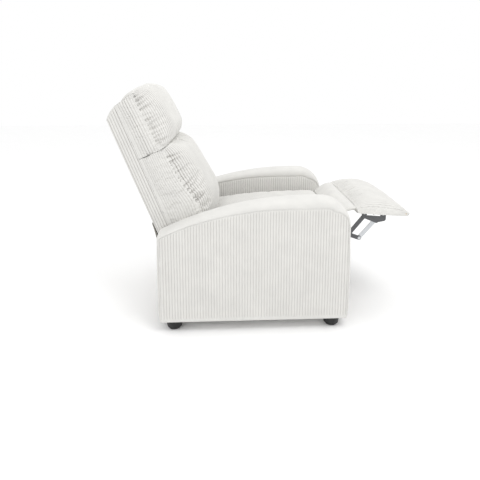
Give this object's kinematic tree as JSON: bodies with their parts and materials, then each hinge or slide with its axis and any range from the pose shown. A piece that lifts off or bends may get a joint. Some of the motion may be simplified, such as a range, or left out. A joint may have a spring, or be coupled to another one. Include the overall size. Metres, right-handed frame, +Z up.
{
  "type": "recliner armchair",
  "caption": "Push-back recliner armchair with upholstered arms, a reclining cushioned back, a gliding seat and a fold-out footrest on a steel linkage.",
  "frame": {"origin": "on the floor, at the centre of the base between the four feet", "axes": "+Z up; the chair faces -Y; +X is the sitter's left"},
  "size_m": [0.67, 1.2521, 0.9972],
  "materials": {
    "corduroy": "wide-rib corduroy",
    "lining": "woven lining",
    "timber": "sawn softwood and plywood",
    "black_plastic": "moulded",
    "dark_steel": "black oxide and lacquer",
    "zinc": "zinc plated"
  },
  "bodies": {
    "base": {"arm_cover_left": "corduroy", "arm_cover_right": "corduroy", "arm_frame_left": "timber", "arm_frame_right": "timber", "base_plate_left": "dark_steel", "base_plate_right": "dark_steel", "slide_rail_left": "zinc", "slide_rail_right": "zinc", "cross_rail_front": "timber", "cross_rail_rear": "timber", "corner_brackets": "zinc", "arm_bolts": "zinc", "foot_front_left": "black_plastic", "foot_front_right": "black_plastic", "foot_rear_left": "black_plastic", "foot_rear_right": "black_plastic", "foot_screws": "zinc", "recline_pins": "zinc", "rear_curtain": "corduroy"},
    "seat": {"seat_rail_left": "timber", "seat_rail_right": "timber", "seat_rail_front": "timber", "seat_rail_rear": "timber", "seat_springs": "zinc", "spring_clips": "dark_steel", "seat_cushion": "corduroy", "seat_front_panel": "corduroy", "seat_dust_cover": "lining", "seat_plate_left": "dark_steel", "seat_plate_right": "dark_steel", "glide_blocks": "black_plastic", "seat_plate_bolts": "zinc", "seat_pivots": "zinc"},
    "back": {"back_frame": "timber", "back_shell": "corduroy", "back_straps": "lining", "lumbar_cushion": "corduroy", "head_pillow": "corduroy", "back_bracket_left": "dark_steel", "back_bracket_right": "dark_steel", "back_bolts": "zinc", "drive_pins": "zinc"},
    "footrest": {"footrest_board": "timber", "footrest_pad": "corduroy", "footrest_flap": "corduroy", "footrest_bracket_left": "dark_steel", "footrest_bracket_right": "dark_steel", "footrest_screws": "zinc"},
    "lift_links": {"lift_link_left": "dark_steel", "lift_link_right": "dark_steel", "lift_pivots": "zinc"},
    "cross_links": {"cross_link_left": "dark_steel", "cross_link_right": "dark_steel", "cross_link_rivets": "zinc"},
    "brace_links": {"brace_link_left": "zinc", "brace_link_right": "zinc"},
    "cranks": {"crank_left": "dark_steel", "crank_right": "dark_steel"}
  },
  "joints": [
    {"name": "back_recline", "type": "hinge", "parent": "base", "child": "back", "pos_m": [0, 0.324, 0.22], "axis": [-1, 0, 0], "range_deg": [0, 45], "deforming": ["rear_curtain"]},
    {"name": "seat_glide", "type": "slide", "parent": "base", "child": "seat", "axis": [0, -1, 0], "range_m": [0, 0.046]},
    {"name": "footrest_lift", "type": "hinge", "parent": "seat", "child": "footrest", "pos_m": [0, -0.354, 0.416], "axis": [1, 0, 0], "range_deg": [0, 90]},
    {"name": "lift_link_swing", "type": "hinge", "parent": "seat", "child": "lift_links", "pos_m": [0, -0.294, 0.318], "axis": [1, 0, 0], "range_deg": [0, 94]},
    {"name": "cross_link_swing", "type": "hinge", "parent": "lift_links", "child": "cross_links", "pos_m": [0, -0.41, 0.365], "axis": [1, 0, 0], "range_deg": [-104, 0]},
    {"name": "brace_link_swing", "type": "hinge", "parent": "lift_links", "child": "brace_links", "pos_m": [0, -0.46, 0.347], "axis": [1, 0, 0], "range_deg": [-106, 0]},
    {"name": "crank_swing", "type": "hinge", "parent": "seat", "child": "cranks", "pos_m": [0, -0.261, 0.274], "axis": [1, 0, 0], "range_deg": [0, 92]}
  ],
  "couplings": [
    {"joint": "seat_glide", "follows": "back_recline", "m_per_rad": 0.05847},
    {"joint": "lift_link_swing", "follows": "footrest_lift", "ratio": 1.0352},
    {"joint": "cross_link_swing", "follows": "footrest_lift", "ratio": -1.1469},
    {"joint": "brace_link_swing", "follows": "footrest_lift", "ratio": -1.1677},
    {"joint": "crank_swing", "follows": "footrest_lift", "ratio": 1.0173}
  ]
}
